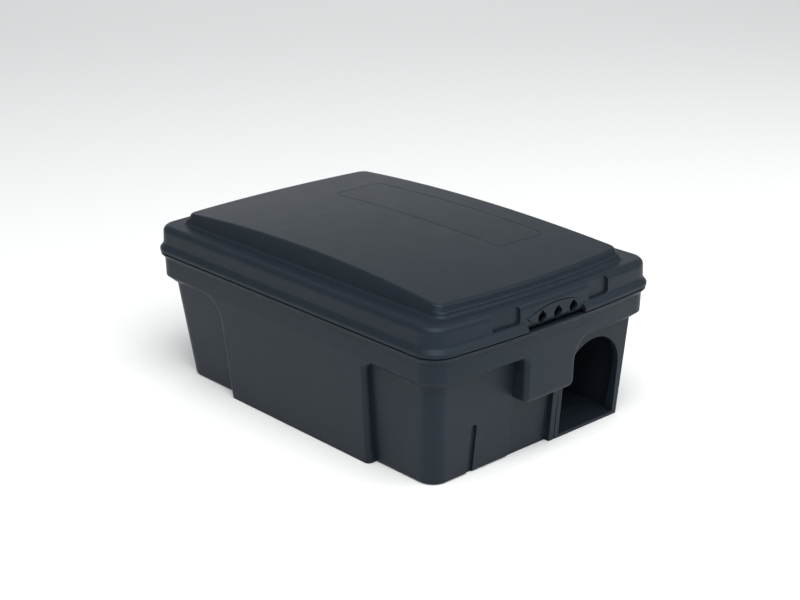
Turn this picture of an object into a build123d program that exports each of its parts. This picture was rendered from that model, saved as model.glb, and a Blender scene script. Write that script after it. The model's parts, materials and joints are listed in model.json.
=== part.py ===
from build123d import *

import math
import os

# A key-locked rodent bait station: a tub with an arched entrance in each short end, a lid hinged at one
# short end and locked at the other, and the bait fittings inside. Millimetres, +Z up. X is the long
# way with the lock at +X and the hinge at -X. +Y is the runway side, which stands against a wall.
# The origin is on the underside, in the middle of the rim.

# Rim and overall shape
RIM_HALF_LENGTH = 150.0
RIM_HALF_WIDTH = 103.7
RIM_CORNER = 17.2
END_BOW = 5.4
LID_BOTTOM_Z = 94.1
WALL = 2.5
FLOOR = 3.0
PART_GAP = 0.8

# Tub: lower walls, band under the rim, bulged middle of the long sides
FOOT_HALF_LENGTH = 128.4
FOOT_HALF_WIDTH = 86.8
FOOT_R = 1.6
WALL_CORNER = 11.5
WALL_TOP_Z = 70.5
WALL_SPREAD = 7.7
BAND_BOTTOM_Z = 75.5
BAND_INSET = 3.1
BAND_LEAN = 0.3
BAND_EDGE = 0.6
FLANGE_FOOT_Z = 89.2
FLANGE_Z = 92.3
FLANGE_INSET = 0.5
SHELF_Z = 91.0
RIM_EDGE_R = 0.4
RIM_TOP_Z = LID_BOTTOM_Z - PART_GAP
LIP_TOP_Z = 97.0
LIP_OUTER_INSET = 5.6
LIP_INNER_INSET = 7.4
LIP_GAP_HALF = 34.0
BULGE_FOOT_Y = 93.6
BULGE_TOP_Y = 100.25
BULGE_LEFT_X = -70.0
BULGE_RIGHT_X = 76.0
BULGE_SIDE_LEAN = 3.0
BULGE_FLARES = (17.0, 6.0)
BULGE_HEAD = 3.0
BULGE_CORNER = 3.5
BULGE_INNER_CORNER = 1.5

# Entrances, one in each short end
ENTRANCE_Y = 53.9
ENTRANCE_R = 27.6
ENTRANCE_TOP_Z = 65.6
SILL_Z = 2.2
SURROUND_LOW_Y = 17.5
SURROUND_HIGH_Y = 85.4
SURROUND_ROOT_X = 110.0
SURROUND_PROUD = 2.6
SURROUND_HEAD_PROUD = 0.5
SURROUND_LEAN = 2.6

# Steps in the end walls, placed along Y and up the wall from its foot
SUNK_CENTRE = (-1.25, 25.0)
SUNK_SIZE = (37.5, 64.0)
SUNK_DEPTH = 1.5
CHANNEL_CENTRE = (-54.5, 10.0)
CHANNEL_SIZE = (50.0, 5.4)
CHANNEL_DEPTH = 1.7
GROOVE_IN = 4.6
GROOVE_WIDTH = 0.9
GROOVE_LENGTH = 60.0
GROOVE_DEPTH = 1.2

# Lock housing that stands out of the +X end
HOUSING_LOW_Y = -22.0
HOUSING_HIGH_Y = 24.4
HOUSING_BOTTOM_Z = 42.8
HOUSING_ROOT_X = 110.0
HOUSING_X = 146.2
HOUSING_ROUND = 3.4
HOUSING_CORNER = 4.5
HOUSING_COVES = (6.0, 16.0)
HOUSING_HEAD_Z = 84.0
HOUSING_LEAN = 0.75

# Lid: side wall, shoulder, raised crowned panel
BEAD_TOP_Z = 96.5
BEAD_R = 0.4
LID_WALL_INSET = 2.5
LID_WALL_Z = 100.0
FLARE_R = 2.5
SHOULDER_INSET = 2.9
SHOULDER_Z = 112.8
SHOULDER_R = 4.6
PANEL_HALF_LENGTH = 133.0
PANEL_HALF_WIDTH = 83.2
PANEL_CORNER = 7.0
PANEL_LEVEL_Z = 120.0
PANEL_SLOPE = 0.33
PANEL_STEP = 1.8
PANEL_STEP_Z = 116.6
PANEL_STEP_R = 1.6
PANEL_FOOT_R = 2.6
CROWN_Z = 125.7
CROWN_R = 1515.0
CROWN_EDGE_R = 2.2

# Ribs across the inside of the panel
RIB_XS = (-84.0, -28.0, 28.0, 84.0)
RIB_THICK = 1.8
RIB_HALF = 78.0

# Label field on the crown
LABEL_CENTRE = (-2.4, 39.5)
LABEL_SIZE = (167.8, 43.5)
LABEL_CORNER = 5.0
LABEL_LINE = 0.55
LABEL_LINE_DEPTH = 0.45

# Key plate in the lid's +X end
KEY_YS = (-10.9, 3.6, 18.2)
KEY_Z = 100.0
KEY_WIDTH = 7.6
KEY_HEIGHT = 8.8
PLATE_LOW_Y = -25.5
PLATE_HIGH_Y = 28.0
PLATE_TIP = (-24.8, 102.0)
PLATE_CREST = (0.0, 107.9)
PLATE_END = (25.0, 104.0)
PLATE_KEEL = (-21.0, 98.2)
PLATE_FOOT = (-15.5, 95.0)
PLATE_LINE = 0.8
PLATE_LINE_DEPTH = 1.2
PLATE_BACK_X = 145.2
PLATE_THICK = 2.2
SCOOP_TOP = (147.4, 100.4)
SCOOP_MIDDLE = (146.56, 96.59)
SCOOP_FOOT = (144.2, 93.5)
PAD_INNER_X = 141.6

# Shallow pockets in the lid's +X end wall
POCKET_YS = ((-54.3, -30.4), (33.0, 53.0))
POCKET_Z = (100.2, 111.8)
POCKET_DEPTH = 2.0
POCKET_CORNER = 2.4

# Hinge at the -X end
HINGE_X = -154.2
HINGE_Z = 92.6
KNUCKLE_R = 3.9
PIN_R = 1.5
RUN_CLEAR = 0.05
HINGE_YS = (-52.0, 52.0)
LID_KNUCKLE_HALF = 6.0
BASE_KNUCKLE_END = 15.4
KNUCKLE_GAP = 0.4

# Latch
LATCH_X = 138.4
LATCH_Z = 104.0
LATCH_KNUCKLE_R = 3.2
LATCH_LOW_Y = -15.4
LATCH_HIGH_Y = 24.2
LUG_THICK = 2.4
LATCH_BACK_X = 137.2
LATCH_FRONT_X = 140.2
CATCH_Z = 83.0
CATCH_X = (140.8, 145.5)
CATCH_Y = (-12.0, 19.0)
HOOK_Y = (-10.0, 17.0)
HOOK_FOOT_Z = 77.0
HOOK_RIB_YS = (-7.0, 3.5, 14.0)
HOOK_RIB_THICK = 1.6
SPRING_ROOM = 6.6

# Interior
PARTITION_Y = 20.0
PARTITION_THICK = 2.5
PARTITION_TOP_Z = 74.0
PARTITION_HALF = 124.0
GUIDE_X = (121.0, 128.0)
GUIDE_GAP = 0.3
GUIDE_THICK = 2.0
GUIDE_TOP_Z = 38.0
DIVIDER_X = 8.0
DIVIDER_TOP_Z = 62.0
DOORWAY_X = 66.0
DOORWAY_WIDTH = 52.0
DOORWAY_TOP_Z = 58.0
ROD_YS = (-60.0, -16.0)
ROD_Z = 42.0
ROD_R = 2.5
ROD_ENDS = (17.0, 121.0)
CRADLE_XS = (20.0, 116.0)
CRADLE_THICK = 3.0
CRADLE_Y = (-80.0, 12.0)
CRADLE_BRIDGE_Z = 14.0
CRADLE_POST_HALF = 8.0
CRADLE_POST_RISE = 7.0
FOOT_THICK = 2.0
FIT_UNDER = 0.1
CRADLE_PAD_R = 5.2
CRADLE_SCREW_YS = (-38.0, 4.0)
SCREW_R = 1.4
SCREW_FOOT_Z = 1.2
SCREW_HEAD = (2.8, 1.8)
CLIP_XS = (25.2, 110.0)
CLIP_THICK = 1.2
BLOCK_SIZE = 34.0
BLOCK_LENGTH = 36.0
BLOCK_XS = (46.0, 88.0)
BLOCK_HOLE_R = 3.2
GROOVE_STEP = 9.0
GROOVE_R = 2.2
TRAY_X = (-116.0, -6.0)
TRAY_Y = (-78.0, 12.0)
TRAY_HEIGHT = 24.0
ANCHOR_XS = (-60.0, 60.0)
ANCHOR_YS = (-84.5, 52.0)
ANCHOR_HOLE_R = 2.75

# Helpers: a length that reaches past the whole object, and how far the middle of a quarter round lies
# from the meeting of its sides, as a part of its radius
OUTSIDE = 200.0
ROUND = 1 - math.sqrt(0.5)

PARTS = {}


def outline(half_length, half_width, corner, bow, z):
    """A rounded rectangle at height z, whose short ends bow outward by bow."""
    x = half_length - bow
    near = (x, -half_width, z)
    far = (x, half_width, z)
    if bow > 0:
        right = ThreePointArc(near, (half_length, 0, z), far)
        left = ThreePointArc((-x, half_width, z), (-half_length, 0, z), (-x, -half_width, z))
    else:
        right = Line(near, far)
        left = Line((-x, half_width, z), (-x, -half_width, z))
    front = Line((-x, -half_width, z), near)
    back = Line(far, (-x, half_width, z))
    face = make_face([front, right, back, left])
    return fillet(face.vertices(), corner)


def rim_outline(inset, z):
    """The rim's outline, moved inward by inset."""
    return outline(RIM_HALF_LENGTH - inset, RIM_HALF_WIDTH - inset, RIM_CORNER - inset, END_BOW, z)


def stack(sections):
    """A solid with straight walls between outlines."""
    return loft(sections, ruled=True)


def prism_x(points, x_low, x_high):
    """A polygon in Y and Z, drawn from x_low to x_high."""
    face = Plane.YZ.offset(x_low) * make_face(Polyline(points, close=True))
    return extrude(face, x_high - x_low)


def prism_y(points, y_low, y_high):
    """A polygon in X and Z, drawn from y_low to y_high."""
    face = make_face(Polyline([(x, y_low, z) for x, z in points], close=True))
    return extrude(face, y_high - y_low, dir=(0, 1, 0))


def block(x, y, z):
    """A box between low and high values of x, y and z."""
    size = [high - low for low, high in (x, y, z)]
    centre = [(low + high) / 2 for low, high in (x, y, z)]
    return Pos(*centre) * Box(*size)


def rod_y(x, z, radius, y_low, y_high):
    """A cylinder along Y."""
    return Pos(x, (y_low + y_high) / 2, z) * Rot(90, 0, 0) * Cylinder(radius, y_high - y_low)


def rod_x(y, z, radius, x_low, x_high):
    """A cylinder along X."""
    return Pos((x_low + x_high) / 2, y, z) * Rot(0, 90, 0) * Cylinder(radius, x_high - x_low)


def edges_at(part, z, tolerance=0.05):
    """The edges that lie level at height z."""
    return part.edges().filter_by(lambda e: abs(e.bounding_box().min.Z - z) < tolerance
                                  and abs(e.bounding_box().max.Z - z) < tolerance)


def wall_x(z):
    """How far out the tub's end wall is at height z."""
    return FOOT_HALF_LENGTH + WALL_SPREAD * z / WALL_TOP_Z


# ---------------------------------------------------------------- tub


def bulge(inset, side):
    """The middle of a long side, -1 for -Y and 1 for +Y, that stands out to the band."""
    left = BULGE_LEFT_X + inset
    right = BULGE_RIGHT_X - inset
    head_left = left - BULGE_SIDE_LEAN
    head_right = right + BULGE_SIDE_LEAN
    top = BAND_BOTTOM_Z + BULGE_HEAD
    flare_left, flare_right = (flare + inset for flare in BULGE_FLARES)
    floor = inset * FLOOR / WALL
    rise = BAND_BOTTOM_Z - BULGE_HEAD + 0.5 + 0.8 * inset
    front = [
        Line((left, 0, floor), (right, 0, floor)),
        Line((right, 0, floor), (head_right, 0, rise - flare_right)),
        ThreePointArc(
            (head_right, 0, rise - flare_right),
            (head_right + flare_right * ROUND, 0, rise - flare_right * ROUND),
            (head_right + flare_right, 0, rise),
        ),
        Line((head_right + flare_right, 0, rise), (head_right + flare_right, 0, top)),
        Line((head_right + flare_right, 0, top), (head_left - flare_left, 0, top)),
        Line((head_left - flare_left, 0, top), (head_left - flare_left, 0, rise)),
        ThreePointArc(
            (head_left - flare_left, 0, rise),
            (head_left - flare_left * ROUND, 0, rise - flare_left * ROUND),
            (head_left, 0, rise - flare_left),
        ),
        Line((head_left, 0, rise - flare_left), (left, 0, floor)),
    ]
    body = extrude(make_face(front), OUTSIDE, dir=(0, side, 0))
    foot = Pos(0, 0, floor) * Rectangle(2 * OUTSIDE, 2 * (BULGE_FOOT_Y - inset))
    head = Pos(0, 0, BAND_BOTTOM_Z) * Rectangle(2 * OUTSIDE, 2 * (BULGE_TOP_Y - inset))
    cap = Pos(0, 0, top) * Rectangle(2 * OUTSIDE, 2 * (BULGE_TOP_Y - inset))
    shape = body & stack([foot, head, cap])
    upright = shape.edges().filter_by(
        lambda e: 1 < e.bounding_box().size.Z and e.bounding_box().max.Z < BAND_BOTTOM_Z - 0.1
        and abs(e.center().Y) > BULGE_FOOT_Y - WALL - 1
    )
    return fillet(upright, BULGE_CORNER if inset == 0 else BULGE_INNER_CORNER)


def housing(inset):
    """The lock housing under the band at the +X end, with coved sides where it meets the band."""
    low = HOUSING_LOW_Y + inset
    high = HOUSING_HIGH_Y - inset
    bottom = HOUSING_BOTTOM_Z + inset
    top = HOUSING_HEAD_Z
    rise = BAND_BOTTOM_Z + inset
    low_cove, high_cove = (cove + inset for cove in HOUSING_COVES)
    corner = HOUSING_CORNER - inset
    profile = [
        Line((0, low + corner, bottom), (0, high - corner, bottom)),
        ThreePointArc(
            (0, high - corner, bottom),
            (0, high - corner * ROUND, bottom + corner * ROUND),
            (0, high, bottom + corner),
        ),
        Line((0, high, bottom + corner), (0, high, rise - high_cove)),
        ThreePointArc(
            (0, high, rise - high_cove),
            (0, high + high_cove * ROUND, rise - high_cove * ROUND),
            (0, high + high_cove, rise),
        ),
        Line((0, high + high_cove, rise), (0, high + high_cove, top)),
        Line((0, high + high_cove, top), (0, low - low_cove, top)),
        Line((0, low - low_cove, top), (0, low - low_cove, rise)),
        ThreePointArc(
            (0, low - low_cove, rise),
            (0, low - low_cove * ROUND, rise - low_cove * ROUND),
            (0, low, rise - low_cove),
        ),
        Line((0, low, rise - low_cove), (0, low, bottom + corner)),
        ThreePointArc(
            (0, low, bottom + corner),
            (0, low + corner * ROUND, bottom + corner * ROUND),
            (0, low + corner, bottom),
        ),
    ]
    body = Pos(HOUSING_ROOT_X, 0, 0) * extrude(make_face(profile), OUTSIDE, dir=(1, 0, 0))
    front = HOUSING_X - inset
    half = HOUSING_LEAN
    reach = stack([
        outline(front - half, RIM_HALF_WIDTH, WALL_CORNER, END_BOW, HOUSING_BOTTOM_Z - 10),
        outline(front + half, RIM_HALF_WIDTH, WALL_CORNER, END_BOW, HOUSING_HEAD_Z + 4),
    ])
    shape = body & reach
    front_face = shape.faces().sort_by(Axis.X)[-1]
    rounded = front_face.edges().filter_by(lambda e: e.bounding_box().max.Z < top - 1)
    return fillet(rounded, HOUSING_ROUND - inset)


def surround():
    """The squared wall round the +X entrance, a little proud of the end wall."""
    foot_x = FOOT_HALF_LENGTH + SURROUND_PROUD
    head_x = wall_x(WALL_TOP_Z) + SURROUND_HEAD_PROUD
    head_z = WALL_TOP_Z + 1.5
    high_y = SURROUND_HIGH_Y + SURROUND_LEAN
    foot = Pos((foot_x + SURROUND_ROOT_X) / 2, (SURROUND_LOW_Y + SURROUND_HIGH_Y) / 2, 0) * Rectangle(
        foot_x - SURROUND_ROOT_X, SURROUND_HIGH_Y - SURROUND_LOW_Y
    )
    head = Pos((head_x + SURROUND_ROOT_X) / 2, (SURROUND_LOW_Y + high_y) / 2, head_z) * Rectangle(
        head_x - SURROUND_ROOT_X, high_y - SURROUND_LOW_Y
    )
    return stack([foot, head])


def arch(half_width, top_z, bottom_z):
    """An arched opening along X, centred on the entrance."""
    spring = top_z - half_width
    low = ENTRANCE_Y - half_width
    high = ENTRANCE_Y + half_width
    profile = [
        Line((0, low, bottom_z), (0, high, bottom_z)),
        Line((0, high, bottom_z), (0, high, spring)),
        ThreePointArc((0, high, spring), (0, ENTRANCE_Y, top_z), (0, low, spring)),
        Line((0, low, spring), (0, low, bottom_z)),
    ]
    return Pos(SURROUND_ROOT_X, 0, 0) * extrude(make_face(profile), OUTSIDE, dir=(1, 0, 0))


def end_panels():
    """Shallow steps in the +X end wall below the band: the sunk middle and the short channel."""
    slope = math.degrees(math.atan(WALL_SPREAD / WALL_TOP_Z))
    face = Plane(
        origin=(FOOT_HALF_LENGTH, 0, 0),
        x_dir=(0, 1, 0),
        z_dir=(math.cos(math.radians(slope)), 0, -math.sin(math.radians(slope))),
    )
    sunk = face * Pos(*SUNK_CENTRE) * Rectangle(*SUNK_SIZE)
    channel = face * Pos(*CHANNEL_CENTRE) * SlotOverall(*CHANNEL_SIZE, rotation=90)
    groove_place = Pos(SURROUND_LOW_Y + GROOVE_IN, GROOVE_LENGTH / 3)
    groove = face * groove_place * Rectangle(GROOVE_WIDTH, GROOVE_LENGTH)
    cuts = extrude(sunk, amount=-SUNK_DEPTH) + extrude(channel, amount=-CHANNEL_DEPTH)
    line = extrude(Pos(SURROUND_PROUD, 0, 0) * groove, amount=-GROOVE_DEPTH)
    return cuts + line


def tub_shell():
    """The tub's outer form less its inner form."""
    lower = stack([
        outline(FOOT_HALF_LENGTH, FOOT_HALF_WIDTH, WALL_CORNER, 0, 0),
        outline(wall_x(WALL_TOP_Z), FOOT_HALF_WIDTH + WALL_SPREAD, WALL_CORNER, 0, WALL_TOP_Z),
    ])
    lower = fillet(edges_at(lower, 0), FOOT_R)
    cove = stack([
        outline(wall_x(WALL_TOP_Z), FOOT_HALF_WIDTH + WALL_SPREAD, WALL_CORNER, 0, WALL_TOP_Z),
        rim_outline(BAND_INSET + BAND_LEAN + BAND_EDGE, BAND_BOTTOM_Z),
    ])
    band = stack([
        rim_outline(BAND_INSET + BAND_LEAN + BAND_EDGE, BAND_BOTTOM_Z),
        rim_outline(BAND_INSET + BAND_LEAN, BAND_BOTTOM_Z + BAND_EDGE),
        rim_outline(BAND_INSET, FLANGE_FOOT_Z),
        rim_outline(FLANGE_INSET, FLANGE_Z),
        rim_outline(FLANGE_INSET, RIM_TOP_Z),
    ])
    band = fillet(edges_at(band, RIM_TOP_Z), RIM_EDGE_R)
    outer = lower + cove + band
    outer += bulge(0, -1) + bulge(0, 1)
    outer += housing(0)
    frame = surround()
    outer += frame + mirror(frame, Plane.YZ)
    steps = end_panels()
    outer -= steps
    outer -= mirror(steps, Plane.YZ)

    inner = stack([
        outline(wall_x(FLOOR) - WALL, FOOT_HALF_WIDTH - WALL, WALL_CORNER - WALL, 0, FLOOR),
        outline(
            wall_x(WALL_TOP_Z) - WALL,
            FOOT_HALF_WIDTH + WALL_SPREAD - WALL,
            WALL_CORNER - WALL,
            0,
            WALL_TOP_Z + WALL,
        ),
    ])
    inner += stack([
        outline(
            wall_x(WALL_TOP_Z) - WALL,
            FOOT_HALF_WIDTH + WALL_SPREAD - WALL,
            WALL_CORNER - WALL,
            0,
            WALL_TOP_Z + WALL,
        ),
        rim_outline(BAND_INSET + WALL, BAND_BOTTOM_Z + WALL),
    ])
    inner += stack([
        rim_outline(BAND_INSET + WALL, BAND_BOTTOM_Z + WALL),
        rim_outline(BAND_INSET + WALL, RIM_TOP_Z + 1),
    ])
    inner += bulge(WALL, -1) + bulge(WALL, 1)
    inner += housing(WALL)
    return outer - inner


def rim_lip():
    """The shelf inside the rim and the upright lip on it, open where the latch hangs."""
    shelf = stack([rim_outline(BAND_INSET + 1, SHELF_Z), rim_outline(BAND_INSET + 1, RIM_TOP_Z)])
    shelf -= stack([rim_outline(LIP_INNER_INSET, SHELF_Z), rim_outline(LIP_INNER_INSET, RIM_TOP_Z)])
    lip = stack([rim_outline(LIP_OUTER_INSET, RIM_TOP_Z - 1), rim_outline(LIP_OUTER_INSET, LIP_TOP_Z)])
    lip -= stack([rim_outline(LIP_INNER_INSET, RIM_TOP_Z - 1), rim_outline(LIP_INNER_INSET, LIP_TOP_Z)])
    gap = block((120, RIM_HALF_LENGTH - BAND_INSET - WALL), (-LIP_GAP_HALF, LIP_GAP_HALF), (80, 100))
    return shelf + lip - gap


def base_knuckles():
    """The two pairs of hinge knuckles that stand out of the band at the -X end."""
    web = [
        (HINGE_X - 2.76, HINGE_Z - 2.76),
        (-147.5, 80.0),
        (-145.8, 80.0),
        (-145.8, RIM_TOP_Z - 0.1),
        (HINGE_X, RIM_TOP_Z - 0.1),
    ]
    shape = Part()
    for centre in HINGE_YS:
        for side in (-1, 1):
            near = centre + side * (LID_KNUCKLE_HALF + KNUCKLE_GAP)
            far = centre + side * BASE_KNUCKLE_END
            low = min(near, far)
            high = max(near, far)
            shape += rod_y(HINGE_X, HINGE_Z, KNUCKLE_R, low, high) + prism_y(web, low, high)
    return shape


def base_tub():
    shape = tub_shell() + rim_lip() + base_knuckles()
    opening = arch(ENTRANCE_R, ENTRANCE_TOP_Z, SILL_Z)
    shape -= opening
    shape -= mirror(opening, Plane.YZ)
    for centre in HINGE_YS:
        shape -= rod_y(HINGE_X, HINGE_Z, PIN_R + RUN_CLEAR, centre - 20, centre + 20)
    # Catch that the latch hooks under, on the inner face of the housing
    catch = [
        (CATCH_X[0], CATCH_Z),
        (CATCH_X[1], CATCH_Z),
        (CATCH_X[1], CATCH_Z + 5.5),
        (CATCH_X[0], CATCH_Z + 1.6),
    ]
    shape += prism_y(catch, *CATCH_Y)
    # Floor bosses round the anchor holes
    for x in ANCHOR_XS:
        for y in ANCHOR_YS:
            shape += Pos(x, y, FLOOR + 0.5) * Cylinder(2 * ANCHOR_HOLE_R, 2.0)
            shape -= Pos(x, y, FLOOR) * Cylinder(ANCHOR_HOLE_R, 4 * FLOOR)
    for x in CRADLE_XS:
        for y in CRADLE_SCREW_YS:
            shape -= Pos(x, y, SCREW_FOOT_Z + FLOOR - 0.1) * Cylinder(SCREW_R + 0.02, 2 * FLOOR - 0.2)
    # Upright guides at each end that hold the partition's edges
    for end in (-1, 1):
        for side in (-1, 1):
            y = PARTITION_Y + side * (PARTITION_THICK / 2 + GUIDE_GAP + GUIDE_THICK / 2)
            guide = block(GUIDE_X, (y - GUIDE_THICK / 2, y + GUIDE_THICK / 2), (FLOOR - 0.5, GUIDE_TOP_Z))
            shape += guide if end > 0 else mirror(guide, Plane.YZ)
    return shape


# ---------------------------------------------------------------- lid


def crown(depth):
    """Everything under the lid's curved top, less depth."""
    radius = CROWN_R - depth
    low = RIM_TOP_Z - BAND_INSET
    half = RIM_HALF_LENGTH
    edge = CROWN_Z - CROWN_R + math.sqrt(radius**2 - half**2)
    profile = [
        ThreePointArc((-half, -OUTSIDE, edge), (0, -OUTSIDE, CROWN_Z - depth), (half, -OUTSIDE, edge)),
        Line((half, -OUTSIDE, edge), (half, -OUTSIDE, low)),
        Line((half, -OUTSIDE, low), (-half, -OUTSIDE, low)),
        Line((-half, -OUTSIDE, low), (-half, -OUTSIDE, edge)),
    ]
    return extrude(make_face(profile), 2 * OUTSIDE, dir=(0, 1, 0))


def panel_outline(inset, step, z):
    """The raised panel's outline at height z; step makes only its ends longer."""
    grow = (PANEL_LEVEL_Z - z) * PANEL_SLOPE - inset
    return outline(
        PANEL_HALF_LENGTH + grow + step,
        PANEL_HALF_WIDTH + grow,
        PANEL_CORNER - inset / 2,
        END_BOW,
        z,
    )


def lid_panel(inset):
    """The crowned panel with the step round its ends."""
    foot_z = SHOULDER_Z - 6
    upper = stack([panel_outline(inset, 0, foot_z), panel_outline(inset, 0, CROWN_Z + 3)])
    upper = upper & crown(inset)
    step = stack([
        panel_outline(inset, PANEL_STEP, foot_z),
        panel_outline(inset, PANEL_STEP, PANEL_STEP_Z - inset),
    ])
    return upper, step


def lid_form(inset):
    """The lid's outer form, moved inward by inset."""
    wall = LID_WALL_INSET + inset
    top = SHOULDER_Z - inset
    if inset == 0:
        skirt = stack([
            rim_outline(0, LID_BOTTOM_Z),
            rim_outline(0, BEAD_TOP_Z),
            rim_outline(wall, LID_WALL_Z),
            rim_outline(SHOULDER_INSET, top),
        ])
        skirt = fillet(edges_at(skirt, LID_BOTTOM_Z) + edges_at(skirt, BEAD_TOP_Z), BEAD_R)
        skirt = fillet(edges_at(skirt, LID_WALL_Z), FLARE_R)
    else:
        skirt = stack([
            rim_outline(wall, LID_BOTTOM_Z - 1),
            rim_outline(wall, LID_WALL_Z),
            rim_outline(SHOULDER_INSET + inset, top),
        ])
    skirt = fillet(edges_at(skirt, top), SHOULDER_R - inset)
    upper, step = lid_panel(inset)
    if inset > 0:
        return skirt + step + upper
    upper = fillet(upper.faces().sort_by(Axis.Z)[-1].edges(), CROWN_EDGE_R)
    step = fillet(edges_at(step, PANEL_STEP_Z), PANEL_STEP_R)
    shape = skirt + step + upper
    foot = edges_at(shape, top).filter_by(
        lambda e: abs(e.center().X) < RIM_HALF_LENGTH - 10.5 and abs(e.center().Y) < RIM_HALF_WIDTH - 10.5
    )
    return fillet(foot, PANEL_FOOT_R)


def label_groove():
    """The fine line that marks out the label field on the crown."""
    line = LABEL_LINE
    length, width = LABEL_SIZE
    place = Pos(*LABEL_CENTRE, SHOULDER_Z)
    field = place * RectangleRounded(length, width, LABEL_CORNER)
    core = place * RectangleRounded(length - 2 * line, width - 2 * line, LABEL_CORNER - line)
    ring = extrude(field - core, 20)
    return ring - crown(LABEL_LINE_DEPTH)


def wall_skin(depth):
    """Everything within the lid's wall at more than depth below its surface."""
    return stack([
        rim_outline(LID_WALL_INSET + depth, LID_WALL_Z - 8),
        rim_outline(LID_WALL_INSET + depth, LID_WALL_Z),
        rim_outline(SHOULDER_INSET + depth, SHOULDER_Z + 4),
    ])


def key_plate_line():
    """The fine boat-shaped groove that marks out the key plate."""
    tip_y, tip_z = PLATE_TIP
    crest_y, crest_z = PLATE_CREST
    keel_y, keel_z = PLATE_KEEL
    foot_y, foot_z = PLATE_FOOT
    inner_tip = (0, tip_y + PLATE_LINE * 1.2, tip_z - 0.1)
    inner_foot = (0, foot_y + PLATE_LINE / 2, foot_z + PLATE_LINE)
    profile = [
        ThreePointArc((0, *PLATE_END), (0, *PLATE_CREST), (0, *PLATE_TIP)),
        ThreePointArc((0, *PLATE_TIP), (0, *PLATE_KEEL), (0, *PLATE_FOOT)),
        Line((0, *PLATE_FOOT), inner_foot),
        ThreePointArc(inner_foot, (0, keel_y + PLATE_LINE * 0.7, keel_z + PLATE_LINE * 0.7), inner_tip),
        ThreePointArc(inner_tip, (0, crest_y, crest_z - PLATE_LINE), (0, *PLATE_END)),
    ]
    line = Pos(LATCH_X, 0, 0) * extrude(make_face(profile), OUTSIDE, dir=(1, 0, 0))
    return line - wall_skin(PLATE_LINE_DEPTH)


def scoop():
    """The hollow under the keyholes, where the wall rolls inward and the bead is cut away."""
    below = LID_BOTTOM_Z - 2
    profile = [
        ThreePointArc(
            (SCOOP_TOP[0], 0, SCOOP_TOP[1]),
            (SCOOP_MIDDLE[0], 0, SCOOP_MIDDLE[1]),
            (SCOOP_FOOT[0], 0, SCOOP_FOOT[1]),
        ),
        Line((SCOOP_FOOT[0], 0, SCOOP_FOOT[1]), (SCOOP_FOOT[0], 0, below)),
        Line((SCOOP_FOOT[0], 0, below), (OUTSIDE, 0, below)),
        Line((OUTSIDE, 0, below), (OUTSIDE, 0, SCOOP_TOP[1])),
        Line((OUTSIDE, 0, SCOOP_TOP[1]), (SCOOP_TOP[0], 0, SCOOP_TOP[1])),
    ]
    face = Pos(0, PLATE_LOW_Y, 0) * make_face(profile)
    return extrude(face, PLATE_HIGH_Y - PLATE_LOW_Y, dir=(0, 1, 0))


def latch_room():
    """The space behind the key plate that the latch's knuckle turns in."""
    below = LID_BOTTOM_Z - 2
    head_z = LATCH_Z + 1
    foot_x = SCOOP_FOOT[0] - PLATE_THICK
    middle_x = SCOOP_MIDDLE[0] - PLATE_THICK
    room = [
        (PAD_INNER_X - 1, below),
        (foot_x, below),
        (foot_x, SCOOP_FOOT[1] + 1),
        (middle_x, SCOOP_MIDDLE[1] + 1),
        (PLATE_BACK_X, SCOOP_TOP[1]),
        (PLATE_BACK_X, head_z),
        (PAD_INNER_X - 1, head_z),
    ]
    return prism_y(room, LATCH_LOW_Y - 0.6, PLATE_HIGH_Y - 3.4)


def diamond(y):
    """One keyhole, right through the key plate."""
    half_w = KEY_WIDTH / 2
    half_h = KEY_HEIGHT / 2
    points = [
        (y - half_w, KEY_Z - 1.0),
        (y - half_w, KEY_Z + 1.0),
        (y - 0.8, KEY_Z + half_h),
        (y + 0.8, KEY_Z + half_h),
        (y + half_w, KEY_Z + 1.0),
        (y + half_w, KEY_Z - 1.0),
        (y + 0.8, KEY_Z - half_h),
        (y - 0.8, KEY_Z - half_h),
    ]
    return prism_x(points, LATCH_X - LATCH_KNUCKLE_R, OUTSIDE)


def end_patch(y_range, z_range, grow):
    """A rounded bar along X over an area of the lid's +X end wall, larger all round by grow."""
    width = y_range[1] - y_range[0] + 2 * grow
    height = z_range[1] - z_range[0] + 2 * grow
    place = Plane.YZ.offset(PANEL_HALF_LENGTH) * Pos(sum(y_range) / 2, sum(z_range) / 2)
    return extrude(place * RectangleRounded(width, height, POCKET_CORNER), OUTSIDE)


def pocket_back(y_range):
    """The thickening inside the wall behind a pocket."""
    patch = end_patch(y_range, (POCKET_Z[0], POCKET_Z[1] - WALL), WALL / 2)
    return (patch & wall_skin(WALL / 2)) - wall_skin(POCKET_DEPTH + WALL)


def end_pocket(y_range):
    """A shallow pocket in the lid's +X end wall that follows the wall's curve."""
    return end_patch(y_range, POCKET_Z, 0) - wall_skin(POCKET_DEPTH)


def latch_lugs():
    """The two lugs inside the lid that hold the latch pin, and the pad behind the key plate."""
    ceiling = SHOULDER_Z - 1.0
    shape = block(
        (PAD_INNER_X, RIM_HALF_LENGTH - LID_WALL_INSET - 2.0),
        (PLATE_LOW_Y - 3, PLATE_HIGH_Y + 3),
        (LID_BOTTOM_Z, ceiling),
    )
    ear = LATCH_KNUCKLE_R + 0.2
    profile = [
        (PAD_INNER_X + 1, ceiling),
        (LATCH_X - ear - 1.0, ceiling),
        (LATCH_X - ear, LATCH_Z - ear),
        (LATCH_X + 2.0, LATCH_Z - ear),
        (PAD_INNER_X + 1, LATCH_Z - 1.0),
    ]
    for low in (LATCH_LOW_Y - LUG_THICK - KNUCKLE_GAP, LATCH_HIGH_Y + KNUCKLE_GAP):
        shape += prism_y(profile, low, low + LUG_THICK)
    return shape


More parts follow.
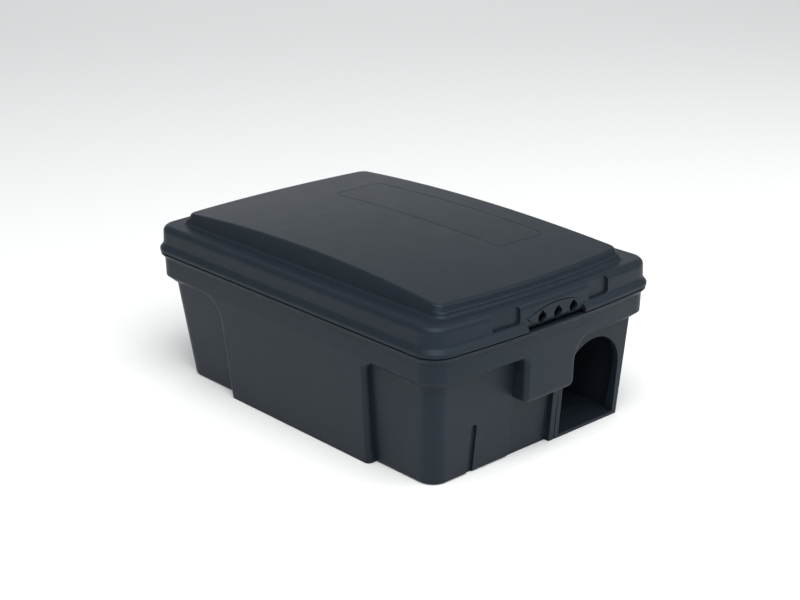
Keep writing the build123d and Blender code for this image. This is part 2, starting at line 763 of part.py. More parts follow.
def lid_ribs():
    """Stiffening ribs across the inside of the panel."""
    shape = Part()
    for x in RIB_XS:
        span = (x - RIB_THICK / 2, x + RIB_THICK / 2)
        shape += block(span, (-RIB_HALF, RIB_HALF), (SHOULDER_Z, CROWN_Z))
    return shape & crown(WALL / 2)


def lid_knuckles():
    """The two hinge knuckles on the lid's -X end."""
    web = [
        (HINGE_X, HINGE_Z + KNUCKLE_R),
        (-149.5, 97.6),
        (-146.5, 97.6),
        (-146.5, 94.3),
        (HINGE_X + 3.4, 94.3),
    ]
    shape = Part()
    for centre in HINGE_YS:
        low = centre - LID_KNUCKLE_HALF
        high = centre + LID_KNUCKLE_HALF
        shape += rod_y(HINGE_X, HINGE_Z, KNUCKLE_R, low, high) + prism_y(web, low, high)
        shape -= rod_y(HINGE_X, HINGE_Z, PIN_R + RUN_CLEAR, low - 1, high + 1)
    return shape


def lid_shell():
    shape = lid_form(0) - lid_form(WALL)
    shape += latch_lugs() + lid_ribs()
    shape -= scoop()
    shape -= key_plate_line()
    shape -= latch_room()
    for y in KEY_YS:
        shape -= diamond(y)
    for y_range in POCKET_YS:
        shape += pocket_back(y_range)
        shape -= end_pocket(y_range)
    shape -= label_groove()
    shape -= rod_y(LATCH_X, LATCH_Z, PIN_R + RUN_CLEAR, LATCH_LOW_Y - 4, LATCH_HIGH_Y + 4)
    return shape + lid_knuckles()


# ---------------------------------------------------------------- hinge and latch


def hinge_pin(centre):
    """A steel pin with a flattened head at each end."""
    end = BASE_KNUCKLE_END + 0.1
    shape = rod_y(HINGE_X, HINGE_Z, PIN_R, centre - end, centre + end)
    for side in (-1, 1):
        low = centre + side * (end + 0.45) - 0.45
        shape += rod_y(HINGE_X, HINGE_Z, 2.5, low, low + 0.9)
    return shape


def latch_tongue():
    """The hook that hangs from the lid into the lock housing."""
    plate_x = (LATCH_BACK_X, LATCH_FRONT_X)
    knuckle_high = LATCH_HIGH_Y - SPRING_ROOM
    apron_z = 93.5
    shape = rod_y(LATCH_X, LATCH_Z, LATCH_KNUCKLE_R, LATCH_LOW_Y, knuckle_high)
    shape += block(plate_x, (LATCH_LOW_Y, knuckle_high), (apron_z, LATCH_Z))
    shape += block(plate_x, (knuckle_high, LATCH_HIGH_Y - 0.6), (apron_z, LATCH_Z - 4.5))
    shape += block(plate_x, HOOK_Y, (HOOK_FOOT_Z + 1, apron_z + 0.5))
    nose_x = CATCH_X[0] + 2.4
    nose = [
        (LATCH_FRONT_X - 1, CATCH_Z - 0.5),
        (nose_x, CATCH_Z - 0.5),
        (nose_x, CATCH_Z - 1.8),
        (LATCH_FRONT_X, HOOK_FOOT_Z),
        (LATCH_FRONT_X - 1, HOOK_FOOT_Z),
    ]
    shape += prism_y(nose, *HOOK_Y)
    rib_x = LATCH_BACK_X - 1.8
    root_x = LATCH_BACK_X + 0.5
    rib = [(root_x, 100.0), (rib_x, 96.0), (rib_x, 84.0), (root_x, 79.0)]
    for y in HOOK_RIB_YS:
        shape += prism_y(rib, y - HOOK_RIB_THICK / 2, y + HOOK_RIB_THICK / 2)
    shape -= rod_y(LATCH_X, LATCH_Z, PIN_R + RUN_CLEAR, LATCH_LOW_Y - 1, LATCH_HIGH_Y + 1)
    return shape


def latch_pin():
    shape = rod_y(LATCH_X, LATCH_Z, PIN_R, LATCH_LOW_Y - 3.2, LATCH_HIGH_Y + 3.2)
    shape += rod_y(LATCH_X, LATCH_Z, 2.4, LATCH_LOW_Y - 4.0, LATCH_LOW_Y - 3.0)
    return shape


def latch_spring():
    """A wire torsion spring round the latch pin, with a leg on the tongue's back."""
    wire = 0.4
    turns_low = LATCH_HIGH_Y - SPRING_ROOM + 0.8
    pitch = 1.0
    turns = 4
    coil_r = 2.15
    path = Helix(pitch, pitch * turns, coil_r)
    section = Plane(origin=path @ 0, z_dir=path % 0) * Circle(wire)
    coil = sweep(section, path=path)
    return Pos(LATCH_X, turns_low, LATCH_Z) * Rot(-90, 0, 0) * coil


# ---------------------------------------------------------------- bait fittings


def runway_partition():
    """The upright wall between runway and bait side, with a doorway near each end."""
    low = PARTITION_Y - PARTITION_THICK / 2
    high = PARTITION_Y + PARTITION_THICK / 2
    shape = block((-PARTITION_HALF, PARTITION_HALF), (low, high), (FLOOR + 0.1, PARTITION_TOP_Z))
    upright = shape.edges().filter_by(Axis.Y).group_by(Axis.Z)[-1]
    shape = fillet(upright, 8)
    for side in (-1, 1):
        centre = side * DOORWAY_X
        door = block(
            (centre - DOORWAY_WIDTH / 2, centre + DOORWAY_WIDTH / 2),
            (low - 1, high + 1),
            (FLOOR + 3, DOORWAY_TOP_Z),
        )
        door = fillet(door.edges().filter_by(Axis.Y).group_by(Axis.Z)[-1], 12)
        shape -= door
    shape += block((-PARTITION_HALF + 9, PARTITION_HALF - 9), (low - 1.5, low), (66.0, 68.0))
    return shape


def chamber_divider():
    """The cross wall between the rod half and the tray half."""
    span = (-82.0, PARTITION_Y - PARTITION_THICK / 2 - 1.7)
    base = FLOOR + FIT_UNDER
    half = PARTITION_THICK / 2
    shape = block((DIVIDER_X - half, DIVIDER_X + half), span, (base, DIVIDER_TOP_Z))
    top = shape.edges().filter_by(Axis.X).group_by(Axis.Z)[-1]
    shape = fillet(top, 10)
    shape += block((DIVIDER_X - 4, DIVIDER_X + 4), span, (base, base + FOOT_THICK))
    return shape


def rod_cradle(x):
    """A bridge with a notched post under each bait rod."""
    low = x - CRADLE_THICK / 2
    high = x + CRADLE_THICK / 2
    base = FLOOR + FIT_UNDER
    shape = block((low, high), CRADLE_Y, (base, CRADLE_BRIDGE_Z))
    foot = block((low - 3.4, high + 3.4), CRADLE_Y, (base, base + FOOT_THICK))
    for y in CRADLE_SCREW_YS:
        foot += Pos(x, y, base + FOOT_THICK / 2) * Cylinder(CRADLE_PAD_R, FOOT_THICK)
        shape -= Pos(x, y, ROD_Z / 2) * Cylinder(CRADLE_PAD_R - 0.8, ROD_Z)
        foot -= Pos(x, y, base) * Cylinder(SCREW_R + 0.1, 3 * FOOT_THICK)
    shape += foot
    for y in ROD_YS:
        top = ROD_Z + CRADLE_POST_RISE
        seat = ROD_R + RUN_CLEAR
        post = block((low, high), (y - CRADLE_POST_HALF, y + CRADLE_POST_HALF), (CRADLE_BRIDGE_Z - 2, top))
        shape += chamfer(post.edges().filter_by(Axis.X).group_by(Axis.Z)[-1], CRADLE_THICK)
        shape -= block((low - 1, high + 1), (y - seat, y + seat), (ROD_Z, top + 2))
        shape -= rod_x(y, ROD_Z, seat, low - 1, high + 1)
    return shape


def cradle_screws():
    """The pan-head screws that hold the cradles to the floor."""
    shape = Part()
    for x in CRADLE_XS:
        for y in CRADLE_SCREW_YS:
            head_r, head_rise = SCREW_HEAD
            head_z = FLOOR + FIT_UNDER + FOOT_THICK + 0.02
            head = Pos(x, y, head_z + head_rise / 2) * Cylinder(head_r, head_rise)
            head = fillet(edges_at(head, head_z + head_rise), head_rise / 2)
            shank = Pos(x, y, (head_z + SCREW_FOOT_Z) / 2) * Cylinder(SCREW_R, head_z - SCREW_FOOT_Z)
            slot = Pos(x, y, head_z + head_rise - 0.2) * (Box(3.0, 0.6, 1.2) + Box(0.6, 3.0, 1.2))
            shape += head + shank - slot
    return shape


def bait_rod(y):
    """A steel rod with rounded ends."""
    shape = rod_x(y, ROD_Z, ROD_R, *ROD_ENDS)
    return chamfer(shape.edges().filter_by(GeomType.CIRCLE), 0.8)


def bait_block(x, y):
    """A wax block with grooved sides and a hole for the rod."""
    z = ROD_Z - (BLOCK_HOLE_R - ROD_R) + 0.03
    half = BLOCK_SIZE / 2
    face = Rectangle(BLOCK_SIZE, BLOCK_SIZE)
    face = fillet(face.vertices(), 3.0)
    for step in (-GROOVE_STEP, 0.0, GROOVE_STEP):
        for side in (-1, 1):
            face -= Pos(step, side * (half + 0.6)) * Circle(GROOVE_R)
            face -= Pos(side * (half + 0.6), step) * Circle(GROOVE_R)
    face -= Circle(BLOCK_HOLE_R)
    shape = extrude(Plane.YZ * face, BLOCK_LENGTH / 2, both=True)
    return Pos(x, y, z) * shape


def rod_clips(y):
    """Push-on rings that keep the blocks in their places on a rod."""
    shape = Part()
    for x in CLIP_XS:
        ring = rod_x(y, ROD_Z, 2 * ROD_R, x - CLIP_THICK / 2, x + CLIP_THICK / 2)
        shape += ring - rod_x(y, ROD_Z, ROD_R + 0.03, x - CLIP_THICK, x + CLIP_THICK)
    return shape


def bait_tray():
    """An open tray with a turned-out rim and a low wall across its middle."""
    x_mid = sum(TRAY_X) / 2
    y_mid = sum(TRAY_Y) / 2
    length = TRAY_X[1] - TRAY_X[0]
    width = TRAY_Y[1] - TRAY_Y[0]
    foot_z = FLOOR + FIT_UNDER
    top_z = foot_z + TRAY_HEIGHT
    turn_out = 2.5
    draft = 3.0
    thick = 1.8

    def level(inset, z):
        corner = 12.0 - inset / 2
        return Pos(x_mid, y_mid, z) * RectangleRounded(length - 2 * inset, width - 2 * inset, corner)

    inset = turn_out + draft
    shape = stack([level(inset, foot_z), level(turn_out, top_z)])
    shape = fillet(edges_at(shape, foot_z), 1.5)
    shape += extrude(level(0, top_z - thick), thick)
    shape -= stack([level(inset + thick, foot_z + thick), level(turn_out + thick, top_z + 0.2)])
    across = (TRAY_Y[0] + turn_out + thick + 0.3, TRAY_Y[1] - turn_out - thick - 0.3)
    cross = block((x_mid - thick / 2, x_mid + thick / 2), across, (foot_z + 0.5, top_z - 9))
    return shape + cross


PARTS["base_tub"] = base_tub()
PARTS["lid_shell"] = lid_shell()
PARTS["hinge_pin_front"] = hinge_pin(HINGE_YS[0])
PARTS["hinge_pin_rear"] = hinge_pin(HINGE_YS[1])
PARTS["latch_tongue"] = latch_tongue()
PARTS["latch_pin"] = latch_pin()
PARTS["latch_spring"] = latch_spring()
PARTS["runway_partition"] = runway_partition()
PARTS["chamber_divider"] = chamber_divider()
PARTS["rod_cradle_inner"] = rod_cradle(CRADLE_XS[0])
PARTS["rod_cradle_outer"] = rod_cradle(CRADLE_XS[1])
for row, rod_place in zip(("front", "rear"), ROD_YS):
    PARTS[f"bait_rod_{row}"] = bait_rod(rod_place)
    PARTS[f"rod_clips_{row}"] = rod_clips(rod_place)
    for number, block_place in enumerate(BLOCK_XS, start=1):
        PARTS[f"bait_block_{row}_{number}"] = bait_block(block_place, rod_place)
PARTS["cradle_screws"] = cradle_screws()
PARTS["bait_tray"] = bait_tray()

os.makedirs("parts", exist_ok=True)
for name, solid in PARTS.items():
    export_step(solid, f"parts/{name}.step")
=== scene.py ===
import json

import bpy
from mathutils import Matrix, Vector

# A rodent bait station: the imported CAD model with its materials,
# on a pale floor in soft studio light. Lengths are in metres.

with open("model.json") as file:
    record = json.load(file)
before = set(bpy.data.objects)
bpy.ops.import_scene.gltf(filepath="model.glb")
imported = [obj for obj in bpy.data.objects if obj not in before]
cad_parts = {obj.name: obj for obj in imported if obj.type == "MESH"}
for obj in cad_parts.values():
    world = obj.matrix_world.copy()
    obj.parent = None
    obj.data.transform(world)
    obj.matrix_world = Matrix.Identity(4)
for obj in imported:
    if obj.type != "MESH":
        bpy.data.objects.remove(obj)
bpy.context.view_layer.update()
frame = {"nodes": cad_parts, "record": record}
scene = bpy.context.scene
MM = 0.001

# ---------------------------------------------------------------- camera

# Solved once from the object's rim, foot and crown.
CAMERA_PLACE = Vector((0.76593, -0.70050, 0.45358))
CAMERA_BACK = Vector((0.69008, -0.63468, 0.34782))
SENSOR_MM = 36.0
LENS_MM = 71.306
CLIP_NEAR = 0.01
CLIP_FAR = 40.0


def add_camera():
    """A camera with no roll that looks along the reverse of CAMERA_BACK."""
    data = bpy.data.cameras.new("studio_camera")
    data.sensor_width = SENSOR_MM
    data.lens = LENS_MM
    data.clip_start = CLIP_NEAR
    data.clip_end = CLIP_FAR
    camera = bpy.data.objects.new("studio_camera", data)
    back = CAMERA_BACK.normalized()
    right = Vector((0, 0, 1)).cross(back).normalized()
    up = back.cross(right)
    turn = Matrix((right, up, back)).transposed().to_4x4()
    camera.matrix_world = Matrix.Translation(CAMERA_PLACE) @ turn
    scene.collection.objects.link(camera)
    scene.camera = camera


# ---------------------------------------------------------------- studio

FLOOR_HALF = 14.0
FLOOR_DROP = 0.0003
FLOOR_COLOUR = (0.935, 0.935, 0.93)
FLOOR_ROUGHNESS = 0.9
AIR_COLOUR = (0.94, 0.975, 1.0)
AIR_STRENGTH = 0.40

# Each softbox: its place, the point it faces, its size, and its power in watts.
# The overhead one stays toward the camera, so that its reflection misses the lid's crown,
# which mirrors the low one behind.
SOFTBOXES = {
    "top_softbox": ((0.75, -0.55, 1.75), (0.1, 0, 0), (1.7, 1.7), 43),
    "back_softbox": ((-1.65, 1.35, 0.48), (0, 0, 0.12), (2.2, 0.35), 2.4),
    "front_fill": ((1.6, -0.5, 1.2), (0, 0, 0.05), (1.2, 1.0), 3),
    "right_fill": ((0.95, 0.80, 1.0), (0.50, 0.36, 0), (0.8, 0.8), 4),
}


def add_softbox(name, place, target, size, power):
    """A rectangular lamp that lights and reflects, but isn't seen itself."""
    data = bpy.data.lights.new(name, "AREA")
    data.shape = "RECTANGLE"
    data.size, data.size_y = size
    data.energy = power
    lamp = bpy.data.objects.new(name, data)
    lamp.location = place
    aim = Vector(target) - Vector(place)
    lamp.rotation_euler = aim.to_track_quat("-Z", "Y").to_euler()
    lamp.visible_camera = False
    scene.collection.objects.link(lamp)


def add_studio():
    """The softboxes, and an even light from all around."""
    for name, settings in SOFTBOXES.items():
        add_softbox(name, *settings)
    world = bpy.data.worlds.new("studio_air")
    scene.world = world
    world.use_nodes = True
    air = world.node_tree.nodes["Background"]
    air.inputs["Color"].default_value = (*AIR_COLOUR, 1)
    air.inputs["Strength"].default_value = AIR_STRENGTH
    scene.view_settings.view_transform = "Standard"


def add_floor():
    """A large matt square just under the feet."""
    data = bpy.data.meshes.new("studio_floor")
    signs = ((-1, -1), (1, -1), (1, 1), (-1, 1))
    data.from_pydata([(x * FLOOR_HALF, y * FLOOR_HALF, 0) for x, y in signs], [], [(0, 1, 2, 3)])
    floor = bpy.data.objects.new("studio_floor", data)
    floor.location.z = -FLOOR_DROP
    scene.collection.objects.link(floor)
    paint = bpy.data.materials.new("studio_floor")
    paint.use_nodes = True
    shader = paint.node_tree.nodes["Principled BSDF"]
    shader.inputs["Base Color"].default_value = (*FLOOR_COLOUR, 1)
    shader.inputs["Roughness"].default_value = FLOOR_ROUGHNESS
    data.materials.append(paint)


# ---------------------------------------------------------------- material building blocks

# Sockets of the Mix node in its colour form.
MIX_SHARE, MIX_A, MIX_B, MIX_RESULT = 0, 6, 7, 2
# How many rays the Bevel and Ambient Occlusion nodes cast.
RAY_COUNT = 6
# A bevelled normal's agreement with the flat one: at most this on an edge, at least this off it.
EDGE_AGREEMENT = (0.86, 0.995)
# A spot is solid out to this share of its radius, and fades beyond it.
SPOT_CORE = 0.6
# Nearly all of a noise lies between these values.
NOISE_SPAN = (0.3, 0.7)


class Paint:
    """One material and the few kinds of node that the finishes below are built from."""

    def __init__(self, name):
        self.material = bpy.data.materials.new(name)
        self.material.use_nodes = True
        self.tree = self.material.node_tree
        self.shader = self.tree.nodes["Principled BSDF"]
        self.place = self.add("ShaderNodeTexCoord").outputs["Object"]

    def add(self, kind, **settings):
        node = self.tree.nodes.new(kind)
        for key, value in settings.items():
            setattr(node, key, value)
        return node

    def feed(self, socket, value):
        """Links value to the socket, or sets it where it is a plain number or colour."""
        if isinstance(value, bpy.types.NodeSocket):
            self.tree.links.new(value, socket)
        elif isinstance(value, tuple) and len(value) == 3 and socket.type == "RGBA":
            socket.default_value = (*value, 1)
        else:
            socket.default_value = value

    def stretched(self, x, y, z):
        """The object's own coordinates, scaled along each axis."""
        node = self.add("ShaderNodeMapping")
        self.feed(node.inputs["Vector"], self.place)
        node.inputs["Scale"].default_value = (x, y, z)
        return node.outputs["Vector"]

    def noise(self, scale, detail, rough, place=None, distortion=0.0):
        """Noise from 0 to 1 with so many waves per metre."""
        node = self.add("ShaderNodeTexNoise")
        self.feed(node.inputs["Vector"], place or self.place)
        node.inputs["Scale"].default_value = scale
        node.inputs["Detail"].default_value = detail
        node.inputs["Roughness"].default_value = rough
        node.inputs["Distortion"].default_value = distortion
        return node.outputs["Fac"]

    def spots(self, scale, share):
        """Small round spots, 1 inside and 0 outside; share is their size against the spacing."""
        node = self.add("ShaderNodeTexVoronoi")
        self.feed(node.inputs["Vector"], self.place)
        node.inputs["Scale"].default_value = scale
        return self.ramp(node.outputs["Distance"], (share * SPOT_CORE, share), (1.0, 0.0))

    def ramp(self, value, given, wanted):
        """value over the range given becomes the range wanted, and is held beyond its ends."""
        node = self.add("ShaderNodeMapRange")
        self.feed(node.inputs["Value"], value)
        for key, number in zip(("From Min", "From Max", "To Min", "To Max"), (*given, *wanted)):
            node.inputs[key].default_value = number
        return node.outputs["Result"]

    def maths(self, operation, a, b):
        node = self.add("ShaderNodeMath", operation=operation)
        self.feed(node.inputs[0], a)
        self.feed(node.inputs[1], b)
        return node.outputs["Value"]

    def plus(self, a, b):
        return self.maths("ADD", a, b)

    def minus(self, a, b):
        return self.maths("SUBTRACT", a, b)

    def times(self, a, b):
        return self.maths("MULTIPLY", a, b)

    def blend(self, share, a, b):
        """Colour a turning into colour b as share goes from 0 to 1."""
        node = self.add("ShaderNodeMix", data_type="RGBA", blend_type="MIX")
        self.feed(node.inputs[MIX_SHARE], share)
        self.feed(node.inputs[MIX_A], a)
        self.feed(node.inputs[MIX_B], b)
        return node.outputs[MIX_RESULT]

    def shade(self, colour, factor):
        """colour made lighter or darker by a factor that varies over the surface."""
        node = self.add("ShaderNodeVectorMath", operation="SCALE")
        self.feed(node.inputs["Vector"], colour)
        self.feed(node.inputs["Scale"], factor)
        return node.outputs["Vector"]

    def rounded(self, radius):
        """The surface's normal with every edge rounded to radius."""
        node = self.add("ShaderNodeBevel", samples=RAY_COUNT)
        node.inputs["Radius"].default_value = radius
        return node.outputs["Normal"]

    def edges(self, radius):
        """1 along sharp edges within radius, 0 elsewhere."""
        rounded = self.rounded(radius)
        flat = self.add("ShaderNodeNewGeometry")
        dot = self.add("ShaderNodeVectorMath", operation="DOT_PRODUCT")
        self.feed(dot.inputs[0], rounded)
        self.feed(dot.inputs[1], flat.outputs["Normal"])
        return self.ramp(dot.outputs["Value"], EDGE_AGREEMENT, (1.0, 0.0))

    def painted_crevice_shade(self, distance):
        """Painted shade: 0 deep in a crevice, 1 on an open surface, for darkening colour where
        shade falls.
        """
        node = self.add("ShaderNodeAmbientOcclusion", samples=RAY_COUNT)
        node.inputs["Distance"].default_value = distance
        return node.outputs["AO"]

    def relief(self, height, depth, soft_edge):
        """Bumps of that depth, over edges rounded by soft_edge, as the shader's normal."""
        node = self.add("ShaderNodeBump")
        node.inputs["Strength"].default_value = 1.0
        node.inputs["Distance"].default_value = depth
        self.feed(node.inputs["Height"], height)
        self.feed(node.inputs["Normal"], self.rounded(soft_edge))
        self.feed(self.shader.inputs["Normal"], node.outputs["Normal"])

    def set(self, **inputs):
        """Feeds the shader's inputs, named with _ for each space."""
        for name, value in inputs.items():
            self.feed(self.shader.inputs[name.replace("_", " ")], value)


# ---------------------------------------------------------------- moulded plastic

PLASTIC_IOR = 1.49
PLASTIC_SPECULAR = 0.185
PLASTIC_TINT = (0.72, 0.87, 1.0)

# Waves per metre of the slow drift of tone, the handling smudges and the flow streaks.
DRIFT_WAVES = 11.0
SMUDGE_WAVES = 70.0
STREAK_WAVES = 9.0
STREAK_STRETCH = (2.0, 9.0, 5.0)
# The fine grain has this many waves to one of the main grain, and this share of its height.
FINE_WAVES = 2.7
FINE_SHARE = 0.45

# The part of the noise that shows, and what it multiplies the colour by.
SMUDGE_SPAN = (0.3, 0.75)
STREAK_SPAN = (0.56, 0.74)
DRIFT_TONE = (0.96, 1.04)
SMUDGE_TONE = (0.97, 1.04)
GRAIN_TONE = (0.82, 1.20)
STREAK_TONE = (1.0, 1.06)

# Edges rubbed paler and smoother, in patches; the paler colour is partly a painted highlight along
# the edges.
WEAR_AND_HIGHLIGHT_EDGE = 0.55 * MM
WEAR_AND_HIGHLIGHT_SPAN = (0.35, 0.7)
WEAR_AND_HIGHLIGHT_SHARE = (0.55, 1.0)
WEAR_AND_HIGHLIGHT_GAIN, WEAR_AND_HIGHLIGHT_LIFT = 2.1, 0.006
WORN_POLISH = 0.10

# Dust specks, thicker in some regions.
DUST_PER_M, DUST_SIZE = 95.0, 0.035
DUST_SPAN = (0.45, 0.6)
DUST_SHARE = (0.0, 0.55)
DUST_GAIN = 3.4

# Painted shade: colour darkened in crevices within this reach, down to the low tone.
PLASTIC_PAINTED_SHADE_REACH = 4.0 * MM
PLASTIC_PAINTED_SHADE_SPAN = (0.15, 0.85)
PLASTIC_PAINTED_SHADE_TONE = (0.30, 1.0)
SMUDGE_GLOSS = 0.018
FINE_GLOSS = 0.03
PLASTIC_SOFT_EDGE = 0.35 * MM


def moulded_plastic(name, colour, rough, grain_per_m, grain_depth, edge_wear_and_highlight):
    """Injection-moulded plastic: spark-eroded grain, drift of tone, handling marks, worn edges
    that are also a painted highlight, and painted shade in crevices.
    """
    paint = Paint(name)
    drift = paint.noise(DRIFT_WAVES, 3.0, 0.55)
    smudge = paint.noise(SMUDGE_WAVES, 5.0, 0.62, distortion=0.4)
    flow = paint.stretched(*STREAK_STRETCH)
    streak = paint.noise(STREAK_WAVES, 6.0, 0.7, place=flow, distortion=1.2)
    grain = paint.noise(grain_per_m, 3.0, 0.6)
    fine = paint.noise(grain_per_m * FINE_WAVES, 2.0, 0.5)

    drift_tone = paint.ramp(drift, NOISE_SPAN, DRIFT_TONE)
    tone = paint.times(drift_tone, paint.ramp(smudge, SMUDGE_SPAN, SMUDGE_TONE))
    tone = paint.times(tone, paint.ramp(grain, NOISE_SPAN, GRAIN_TONE))
    tone = paint.times(tone, paint.ramp(streak, STREAK_SPAN, STREAK_TONE))
    base = paint.shade(colour, tone)

    # Paler edges: partly real wear, partly a painted highlight.
    wear_and_highlight = paint.times(paint.edges(WEAR_AND_HIGHLIGHT_EDGE), paint.ramp(smudge, WEAR_AND_HIGHLIGHT_SPAN, WEAR_AND_HIGHLIGHT_SHARE))
    wear_and_highlight = paint.times(wear_and_highlight, edge_wear_and_highlight)
    pale = tuple(min(1.0, channel * WEAR_AND_HIGHLIGHT_GAIN + WEAR_AND_HIGHLIGHT_LIFT) for channel in colour)
    base = paint.blend(wear_and_highlight, base, pale)

    specks = paint.spots(DUST_PER_M, DUST_SIZE)
    dust = paint.times(specks, paint.ramp(drift, DUST_SPAN, DUST_SHARE))
    base = paint.blend(dust, base, tuple(channel * DUST_GAIN for channel in colour))

    # Painted shade: crevices darkened in colour.
    painted_shade_mask = paint.painted_crevice_shade(PLASTIC_PAINTED_SHADE_REACH)
    base = paint.shade(base, paint.ramp(painted_shade_mask, PLASTIC_PAINTED_SHADE_SPAN, PLASTIC_PAINTED_SHADE_TONE))

    dull_to_glossy = (rough + SMUDGE_GLOSS, rough - SMUDGE_GLOSS)
    smudge_gloss = paint.ramp(smudge, SMUDGE_SPAN, dull_to_glossy)
    gloss = paint.plus(smudge_gloss, paint.ramp(fine, NOISE_SPAN, (-FINE_GLOSS, FINE_GLOSS)))
    gloss = paint.minus(gloss, paint.times(wear_and_highlight, WORN_POLISH))
    paint.set(
        Base_Color=base,
        Roughness=gloss,
        Specular_IOR_Level=PLASTIC_SPECULAR,
        Specular_Tint=PLASTIC_TINT,
        IOR=PLASTIC_IOR,
    )
    height = paint.plus(grain, paint.times(fine, FINE_SHARE))
    paint.relief(height, grain_depth, PLASTIC_SOFT_EDGE)
    return paint.material


# ---------------------------------------------------------------- plated steel

CLOUD_WAVES = 160.0
CLOUD_SPAN = (0.52, 0.72)
CLOUD_SHARE = (0.0, 0.45)
CLOUD_TINT = (0.92, 0.86, 0.70)
DRAWN_TONE = (0.84, 1.08)
BRIGHT_EDGE = 0.3 * MM
BRIGHT_EDGE_SHARE = 0.5
BRIGHT_EDGE_COLOUR = (0.80, 0.80, 0.79)
# Painted shade: colour darkened in crevices within this reach.
STEEL_PAINTED_SHADE_REACH = 1.5 * MM
STEEL_PAINTED_SHADE_TONE = (0.55, 1.0)
DRAWN_SMOOTHER, DRAWN_ROUGHER = 0.07, 0.10
CLOUD_ROUGHER = 0.08
DRAWN_DEPTH = 0.012 * MM
STEEL_SOFT_EDGE = 0.15 * MM

# Painted shade in crevices, shared by the steel and the wax.
PAINTED_SHADE_SPAN = (0.2, 0.9)


def zinc_steel(name, colour, rough, stretch):
    """Plated steel, brushed or drawn along the axis whose stretch is small."""
    paint = Paint(name)
    drawn = paint.noise(1.0, 3.0, 0.6, place=paint.stretched(*stretch))
    cloud = paint.noise(CLOUD_WAVES, 4.0, 0.6)
    base = paint.shade(colour, paint.ramp(drawn, NOISE_SPAN, DRAWN_TONE))
    tint = tuple(channel * share for channel, share in zip(colour, CLOUD_TINT))
    base = paint.blend(paint.ramp(cloud, CLOUD_SPAN, CLOUD_SHARE), base, tint)
    rubbed = paint.times(paint.edges(BRIGHT_EDGE), BRIGHT_EDGE_SHARE)
    base = paint.blend(rubbed, base, BRIGHT_EDGE_COLOUR)
    # Painted shade: crevices darkened in colour.
    painted_shade_mask = paint.painted_crevice_shade(STEEL_PAINTED_SHADE_REACH)
    base = paint.shade(base, paint.ramp(painted_shade_mask, PAINTED_SHADE_SPAN, STEEL_PAINTED_SHADE_TONE))
    drawn_range = (rough - DRAWN_SMOOTHER, rough + DRAWN_ROUGHER)
    drawn_gloss = paint.ramp(drawn, NOISE_SPAN, drawn_range)
    gloss = paint.plus(drawn_gloss, paint.ramp(cloud, NOISE_SPAN, (0.0, CLOUD_ROUGHER)))
    paint.set(Base_Color=base, Metallic=1.0, Roughness=gloss)
    paint.relief(drawn, DRAWN_DEPTH, STEEL_SOFT_EDGE)
    return paint.material


# ---------------------------------------------------------------- wax

WAX_WAVES = 85.0
WAX_TONE = (0.78, 1.18)
WAX_ROUGHNESS = (0.42, 0.58)
WAX_SPECULAR = 0.45
GRIT_WAVES = 520.0
GRIT_SPAN = (0.42, 0.55)
GRIT_SHARE = (0.0, 0.8)
GRIT_DEPTH = 0.16 * MM
HUSK_PER_M, HUSK_SIZE = 330.0, 0.34
HUSK_COLOUR = (0.50, 0.42, 0.24)
HUSK_HEIGHT = 0.6
DARK_PER_M, DARK_SIZE = 210.0, 0.17
DARK_SHARE = 0.6
DARK_COLOUR = (0.03, 0.09, 0.10)
BLOOM_WAVES = 30.0
BLOOM_SPAN = (0.5, 0.75)
BLOOM_SHARE = (0.0, 0.30)
BLOOM_COLOUR = (0.42, 0.62, 0.64)
# Painted shade: colour darkened in crevices within this reach.
WAX_PAINTED_SHADE_REACH = 3.0 * MM
WAX_PAINTED_SHADE_TONE = (0.6, 1.0)
WAX_DEPTH = 1.5 * MM
WAX_GLOW = 0.18
WAX_GLOW_COLOUR = (0.6, 1.0, 1.0)
WAX_SOFT_EDGE = 0.8 * MM


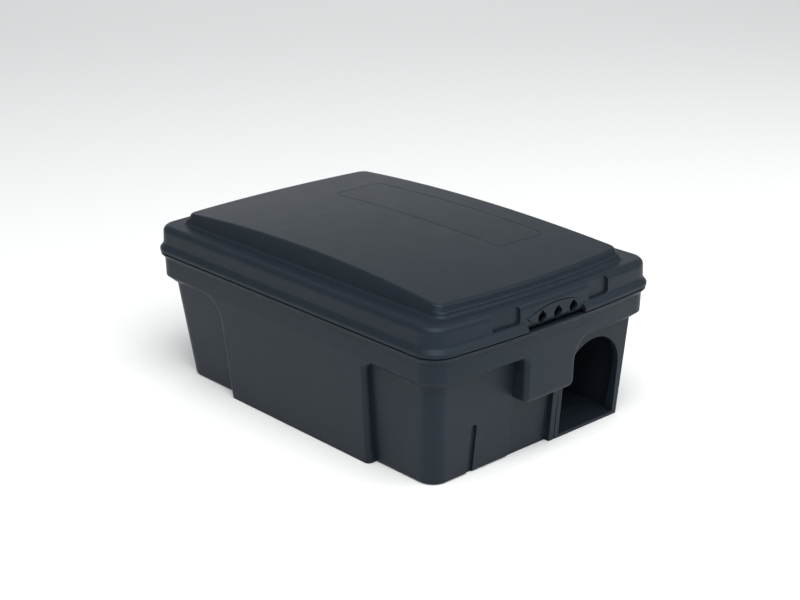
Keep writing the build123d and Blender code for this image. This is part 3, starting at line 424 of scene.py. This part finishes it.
def wax(name, colour):
    """Cast wax bait: crushed grain in a waxy body, a bloom on the surface and soft edges."""
    paint = Paint(name)
    cloud = paint.noise(WAX_WAVES, 4.0, 0.6, distortion=0.5)
    grit = paint.noise(GRIT_WAVES, 3.0, 0.7)
    base = paint.shade(colour, paint.ramp(cloud, NOISE_SPAN, WAX_TONE))
    flakes = paint.spots(HUSK_PER_M, HUSK_SIZE)
    husk = paint.times(flakes, paint.ramp(grit, GRIT_SPAN, GRIT_SHARE))
    base = paint.blend(husk, base, HUSK_COLOUR)
    dark = paint.times(paint.spots(DARK_PER_M, DARK_SIZE), DARK_SHARE)
    base = paint.blend(dark, base, DARK_COLOUR)
    bloom = paint.ramp(paint.noise(BLOOM_WAVES, 5.0, 0.7), BLOOM_SPAN, BLOOM_SHARE)
    base = paint.blend(bloom, base, BLOOM_COLOUR)
    # Painted shade: crevices darkened in colour.
    painted_shade_mask = paint.painted_crevice_shade(WAX_PAINTED_SHADE_REACH)
    base = paint.shade(base, paint.ramp(painted_shade_mask, PAINTED_SHADE_SPAN, WAX_PAINTED_SHADE_TONE))
    paint.set(
        Base_Color=base,
        Roughness=paint.ramp(cloud, NOISE_SPAN, WAX_ROUGHNESS),
        Subsurface_Weight=WAX_GLOW,
        Subsurface_Radius=WAX_GLOW_COLOUR,
        Subsurface_Scale=WAX_DEPTH,
        Specular_IOR_Level=WAX_SPECULAR,
    )
    height = paint.plus(grit, paint.times(husk, HUSK_HEIGHT))
    paint.relief(height, GRIT_DEPTH, WAX_SOFT_EDGE)
    return paint.material


# ---------------------------------------------------------------- the CAD nodes' materials

SHELL_COLOUR = (0.0120, 0.0170, 0.0235)
INSERT_COLOUR = (0.0240, 0.0260, 0.0280)
LATCH_COLOUR = (0.0120, 0.0120, 0.0130)
ZINC = (0.60, 0.61, 0.62)
SPRING_STEEL = (0.36, 0.36, 0.37)
WAX_COLOUR = (0.045, 0.235, 0.270)
# Waves per metre across and along a drawn wire.
ACROSS, ALONG = 2600.0, 25.0


def paint_nodes():
    """Gives each CAD node the finish of its slot; drawn steel follows each piece's own axis."""
    # Roughness, grain per metre, grain depth, edge wear and painted edge highlight.
    body = moulded_plastic("textured_shell", SHELL_COLOUR, 0.42, 1300.0, 0.055 * MM, 0.8)
    insert = moulded_plastic("insert_plastic", INSERT_COLOUR, 0.50, 900.0, 0.03 * MM, 0.9)
    latch = moulded_plastic("latch_nylon", LATCH_COLOUR, 0.40, 2200.0, 0.015 * MM, 1.0)
    # Roughness, waves per metre along X, Y and Z.
    along_x = zinc_steel("zinc_along_x", ZINC, 0.30, (ALONG, ACROSS, ACROSS))
    along_y = zinc_steel("zinc_along_y", ZINC, 0.30, (ACROSS, ALONG, ACROSS))
    turned = zinc_steel("zinc_screw", ZINC, 0.34, (1300.0, 1300.0, 900.0))
    spring = zinc_steel("spring_wire", SPRING_STEEL, 0.36, (1500.0, 1500.0, 1500.0))
    bait = wax("wax_bait", WAX_COLOUR)
    finishes = {
        "body_plastic": body,
        "lid_plastic": body,
        "insert_plastic": insert,
        "latch_plastic": latch,
        "steel": along_y,
        "spring_steel": spring,
        "wax_bait": bait,
    }
    own = {"bait_rod_front": along_x, "bait_rod_rear": along_x, "cradle_screws": turned}
    for row in frame["record"]["subparts"]:
        finish = own.get(row["node"], finishes[row["material_slot"]])
        for slot in frame["nodes"][row["node"]].material_slots:
            slot.material = finish


add_camera()
add_studio()
add_floor()
paint_nodes()
